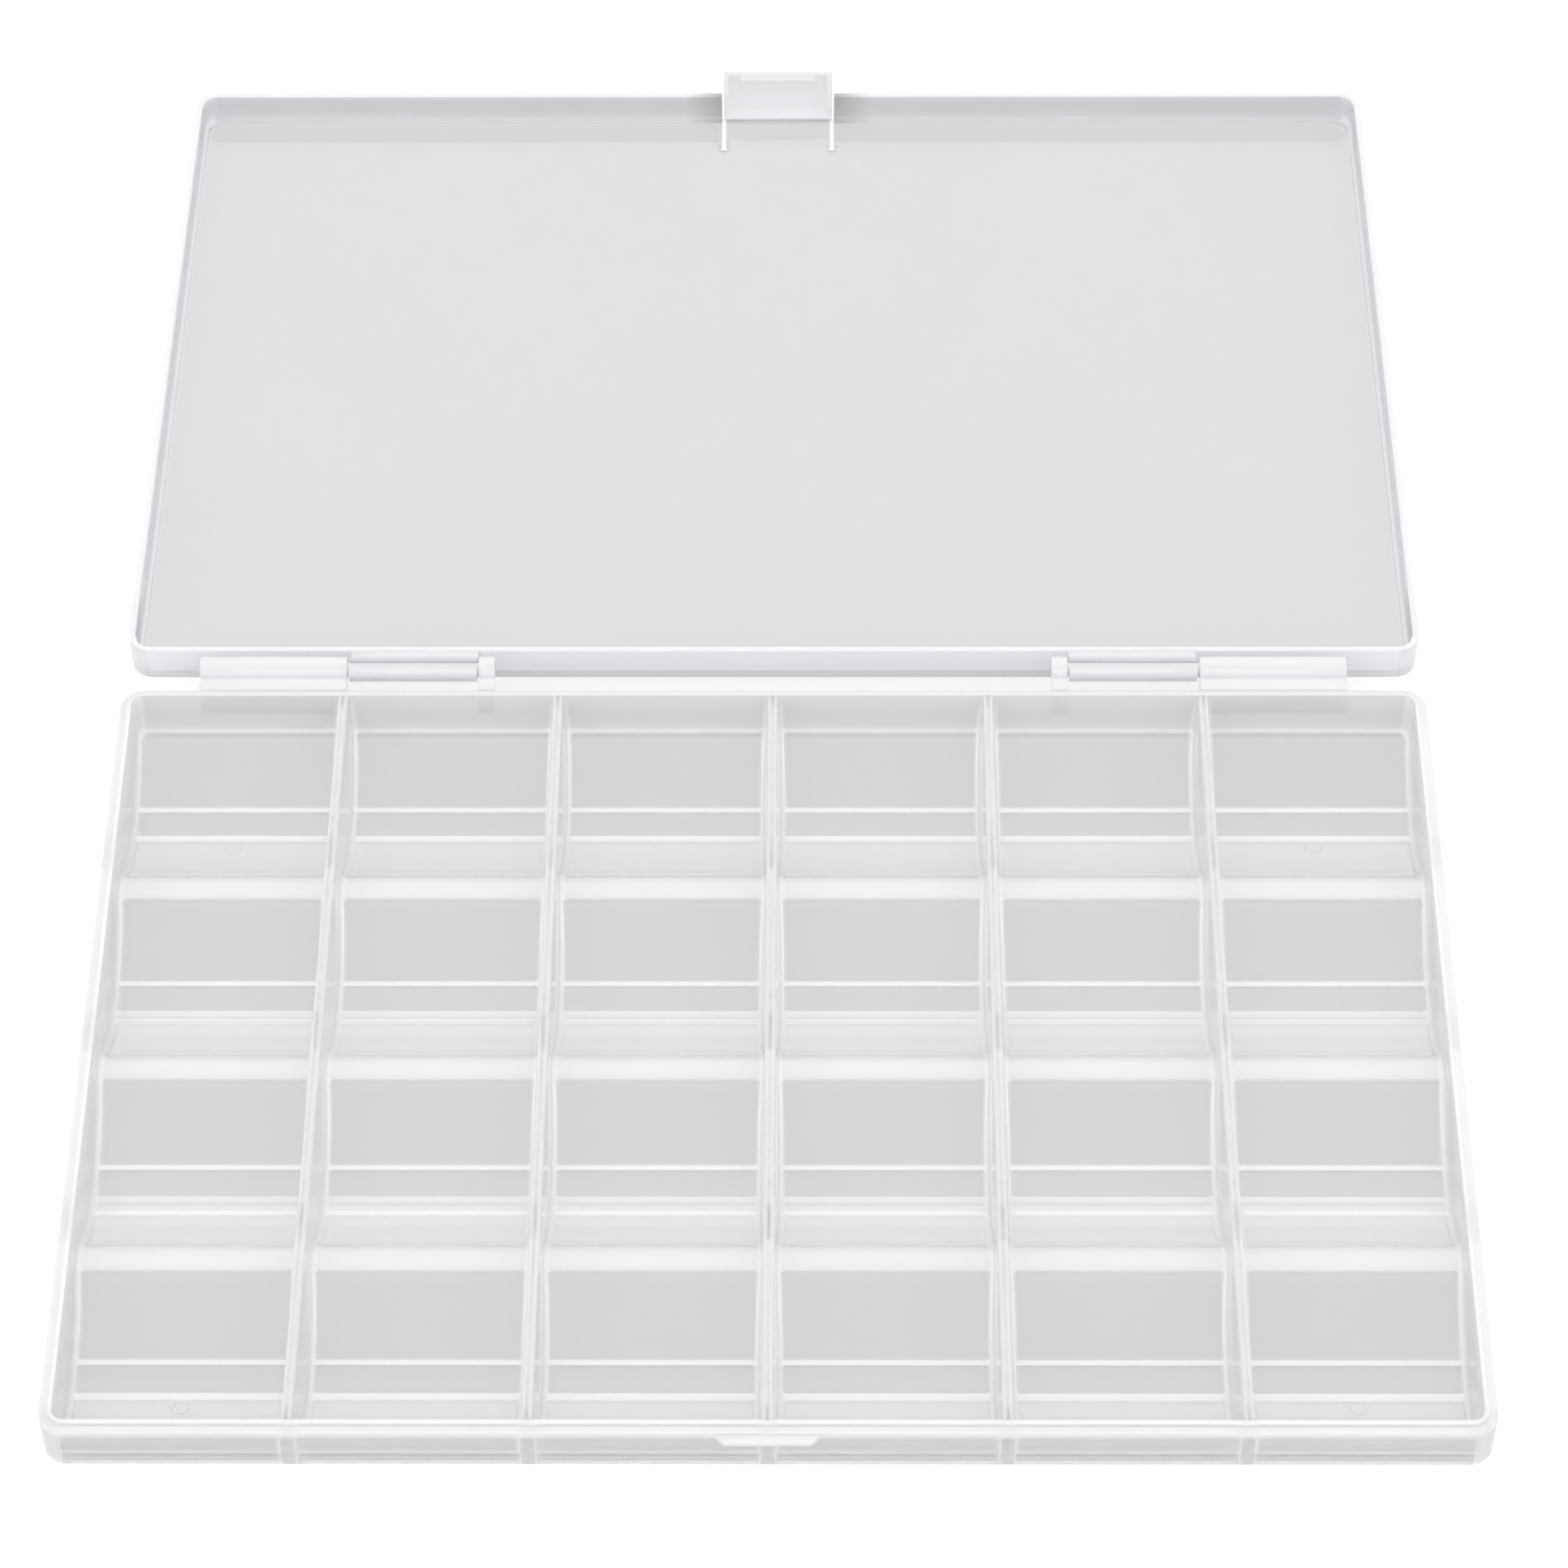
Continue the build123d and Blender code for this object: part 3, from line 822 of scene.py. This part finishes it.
# %% [markdown]
# ## Hinges, catch and latch
# These small pieces already have their real shape in the solid model, so they could stay as
# they are. A moulded edge is never knife-sharp, though, so each one is copied, its loose
# triangles are merged and its flat faces joined again, and a narrow bevel rounds its edges.

# %% Bevelled copies of the small pieces
MERGE_WITHIN = 0.001 * MM
FLAT_WITHIN = math.radians(1)
BEVEL_ABOVE = math.radians(25)
BEVEL_SEGMENTS = 3


def soft_copy(node, width):
    """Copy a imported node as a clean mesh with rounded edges."""
    work = bmesh.new()
    work.from_mesh(frame["nodes"][node].data)
    bmesh.ops.remove_doubles(work, verts=work.verts, dist=MERGE_WITHIN)
    bmesh.ops.dissolve_limit(work, angle_limit=FLAT_WITHIN, verts=work.verts, edges=work.edges)
    mesh = bpy.data.meshes.new(node + "_soft")
    work.to_mesh(mesh)
    work.free()
    holder = bpy.data.objects.new(node + "_holder", mesh)
    scratch.objects.link(holder)
    bevel = holder.modifiers.new("edge", "BEVEL")
    bevel.width = width
    bevel.segments = BEVEL_SEGMENTS
    bevel.angle_limit = BEVEL_ABOVE
    bevel.use_clamp_overlap = True
    soft = plain_mesh(holder, node + "_soft")
    soft.materials.clear()
    return soft


# Each piece's body and the width of its bevel in millimetres
small_pieces = {
    "base_hinge_left": ("base", 0.2),
    "base_hinge_right": ("base", 0.2),
    "front_catch": ("base", 0.12),
    "lid_hinge_clip_left": ("lid", 0.15),
    "lid_hinge_clip_right": ("lid", 0.15),
    "latch_flap": ("latch", 0.15),
}
soft_meshes = {node: tidy(soft_copy(node, width * MM)) for node, (_, width) in small_pieces.items()}

# %% The latch's clear middle
LARGE_FACE = 40 * MM * MM
latch_mesh = soft_meshes["latch_flap"]
latch_mesh.materials.append(small_plastic)
latch_mesh.materials.append(latch_plastic)
clear_faces = [face for face in latch_mesh.polygons
               if face.area > LARGE_FACE and abs(face.center.x) < latch_width / 4]
for face in clear_faces:
    face.material_index = 1
print(len(clear_faces), "large faces of the latch are clearer")
for node, mesh in soft_meshes.items():
    show(node + "_moulded", mesh, small_pieces[node][0], [node], small_plastic)

# %% [markdown]
# ## Moulding marks
# Four small rings show in the corner cells, where the pins that push the moulding out of the
# mould have touched it. They could be drawn in the material, but a mark that catches light is
# geometry. One ring is made from a circle swept round a circle, and Geometry Nodes put a copy
# at each point, tilted with the slope that it lies on.

# %% The tree of the marks
RING_POINTS, BEAD_POINTS = 28, 10
marks, marks_in, marks_out = open_tree("moulding_marks", "GeometryNodeTree", [
    ("INPUT", "Places", "NodeSocketObject", None),
    ("INPUT", "Ring Radius", "NodeSocketFloat", 0.001),
    ("INPUT", "Bead Radius", "NodeSocketFloat", 0.0001),
    ("INPUT", "Tilt", "NodeSocketFloat", 0.0),
    ("INPUT", "Finish", "NodeSocketMaterial", None),
    ("OUTPUT", "Geometry", "NodeSocketGeometry", None),
])
marks.is_modifier = True
places = out(add_node(marks, "GeometryNodeObjectInfo", {"Object": marks_in["Places"]}), "Geometry")
circle = out(add_node(marks, "GeometryNodeCurvePrimitiveCircle", {
    "Resolution": RING_POINTS, "Radius": marks_in["Ring Radius"]}), "Curve")
bead = out(add_node(marks, "GeometryNodeCurvePrimitiveCircle", {
    "Resolution": BEAD_POINTS, "Radius": marks_in["Bead Radius"]}), "Curve")
ring = add_node(marks, "GeometryNodeCurveToMesh", {"Curve": circle, "Profile Curve": bead})
tilted = out(add_node(marks, "ShaderNodeCombineXYZ", {"X": marks_in["Tilt"]}))
copies = add_node(marks, "GeometryNodeInstanceOnPoints", {
    "Points": places, "Instance": out(ring), "Rotation": tilted})
separate = add_node(marks, "GeometryNodeRealizeInstances", [out(copies)])
coated = add_node(marks, "GeometryNodeSetMaterial", {
    "Geometry": out(separate), "Material": marks_in["Finish"]})
marks.links.new(out(coated), marks_out[0])
print("the marks tree has", len(marks.nodes), "nodes")

# %% The marks in the four corner cells
mark_offset = -4.9 * MM
mark_slope = math.asin(mark_offset / trough_radius)
mark_places = [(side * (columns - 1) / 2 * column_pitch,
                base_middle + (number - (rows - 1) / 2) * row_pitch + mark_offset,
                rim + arc_height(trough_radius, mark_offset))
               for number in (0, rows - 1) for side in (-1, 1)]
marks_mesh = run_tree("moulding_marks", marks, {
    "Places": loose_points("mark_places", mark_places),
    "Ring Radius": 1.15 * MM,
    "Bead Radius": 0.14 * MM,
    "Tilt": mark_slope,
    "Finish": small_plastic,
})
show("moulding_marks", tidy(marks_mesh), "base", [], small_plastic)

# %% [markdown]
# ## Floor, light and camera
# The photograph has a pure white ground. More light could make the floor white, but it would
# wash out the plastic. So the floor and the sky are white to the camera and through the
# plastic, by Light Path, while four softboxes, one on each side, stay at a plain level. The
# camera looks down at about 50 degrees through a long lens.

# %% Floor
REACH = 6.0
UNDER_FEET = -0.1 * MM
FLOOR_GREY = (0.86, 0.86, 0.86, 1)
FLOOR_LIFT = 0.35
WHITE = 1.0
floor_mesh = bpy.data.meshes.new("floor")
floor_corners = [(px * REACH, py * REACH, UNDER_FEET) for px, py in ((-1, -1), (1, -1), (1, 1), (-1, 1))]
floor_mesh.from_pydata(floor_corners, [], [(0, 1, 2, 3)])
floor_object = bpy.data.objects.new("floor", floor_mesh)
bpy.context.scene.collection.objects.link(floor_object)


def past_plastic(tree, path):
    """Give 1 for a ray that comes through the plastic or off its gloss."""
    return maths(tree, "MAXIMUM", path.outputs["Is Transmission Ray"], path.outputs["Is Glossy Ray"])


floor_material = bpy.data.materials.new("floor_white")
floor_material.use_nodes = True
floor_tree = floor_material.node_tree
floor_tree.nodes.clear()
floor_path = floor_tree.nodes.new("ShaderNodeLightPath")
diffuse = out(add_node(floor_tree, "ShaderNodeBsdfDiffuse", {"Color": FLOOR_GREY}))
glow = out(add_node(floor_tree, "ShaderNodeEmission", {"Strength": WHITE}))
faint = out(add_node(floor_tree, "ShaderNodeEmission", {"Strength": FLOOR_LIFT}))
lifted = out(add_node(floor_tree, "ShaderNodeAddShader", [diffuse, faint]))
seen = out(add_node(floor_tree, "ShaderNodeMixShader", [
    floor_path.outputs["Is Camera Ray"], diffuse, lifted]))
shown = out(add_node(floor_tree, "ShaderNodeMixShader", [
    past_plastic(floor_tree, floor_path), seen, glow]))
surface = floor_tree.nodes.new("ShaderNodeOutputMaterial")
floor_tree.links.new(shown, surface.inputs["Surface"])
floor_mesh.materials.append(floor_material)
print("floor", 2 * REACH, "m wide, shown by", len(floor_tree.nodes), "nodes")

# %% Sky
SKY_LIGHT = 0.92
world = bpy.data.worlds.new("studio")
bpy.context.scene.world = world
world.use_nodes = True
sky_tree = world.node_tree
sky = sky_tree.nodes["Background"]
sky.inputs["Color"].default_value = (1, 1, 1, 1)
sky_path = sky_tree.nodes.new("ShaderNodeLightPath")
direct = maths(sky_tree, "MAXIMUM", sky_path.outputs["Is Camera Ray"], past_plastic(sky_tree, sky_path))
strength = out(add_node(sky_tree, "ShaderNodeMix", {"Factor": direct, "A": SKY_LIGHT, "B": WHITE},
                        data_type="FLOAT"))
sky_tree.links.new(strength, sky.inputs["Strength"])
print("the sky lights the box at", SKY_LIGHT, "and shows at", WHITE)

# %% Lamps
AIM = Vector((0, 0, 0))  # the middle of the open box, on the table


def softbox(name, hung_at, size, power):
    """Hang a square area lamp and turn it to its aim."""
    lamp = bpy.data.lights.new(name, "AREA")
    lamp.size = size
    lamp.energy = power
    holder = bpy.data.objects.new(name, lamp)
    holder.location = hung_at
    holder.rotation_euler = (AIM - Vector(hung_at)).to_track_quat("-Z", "Y").to_euler()
    bpy.context.scene.collection.objects.link(holder)
    print(name, size, "m wide,", power, "W")


softbox("rear_softbox", (0.1, 0.9, 0.9), 0.9, 1.5)
softbox("left_softbox", (-1.1, -0.2, 0.7), 0.7, 2.0)
softbox("right_softbox", (1.1, -0.2, 0.7), 0.7, 2.0)
softbox("front_softbox", (0.0, -1.4, 0.7), 0.9, 3.6)

# %% Camera
# The angles, the lens and the place were fitted to the edges of the box in the photograph
view_pitch, view_yaw, view_roll = (math.radians(a) for a in (49.693, -0.589, -0.451))
focal_pixels, frame_pixels = 6360.9, 1932
aside, before_front, above_rim = 6.79 * MM, 378.4 * MM, 579.9 * MM
camera_data = bpy.data.cameras.new("camera")
camera_data.sensor_width = 36
camera_data.lens = focal_pixels / frame_pixels * camera_data.sensor_width
camera = bpy.data.objects.new("camera", camera_data)
forward = Vector((math.sin(view_yaw) * math.cos(view_pitch), math.cos(view_yaw) * math.cos(view_pitch),
                  -math.sin(view_pitch)))
level = Vector((math.cos(view_yaw), -math.sin(view_yaw), 0))
upward = level.cross(forward)
right = level * math.cos(view_roll) + upward * math.sin(view_roll)
up = upward * math.cos(view_roll) - level * math.sin(view_roll)
turned = Matrix((right, up, -forward)).transposed().to_4x4()
spot = Vector((aside, base_middle - box_depth / 2 - before_front, rim + above_rim))
camera.matrix_world = Matrix.Translation(spot) @ turned
bpy.context.scene.collection.objects.link(camera)
bpy.context.scene.camera = camera
bpy.context.scene.view_settings.view_transform = "Standard"
print("camera", round(camera_data.lens, 1), "mm lens at", [round(value, 3) for value in spot])

# %% Finish
# The profiles have done their work and go
for item in list(scratch.objects):
    bpy.data.objects.remove(item)
bpy.data.collections.remove(scratch)
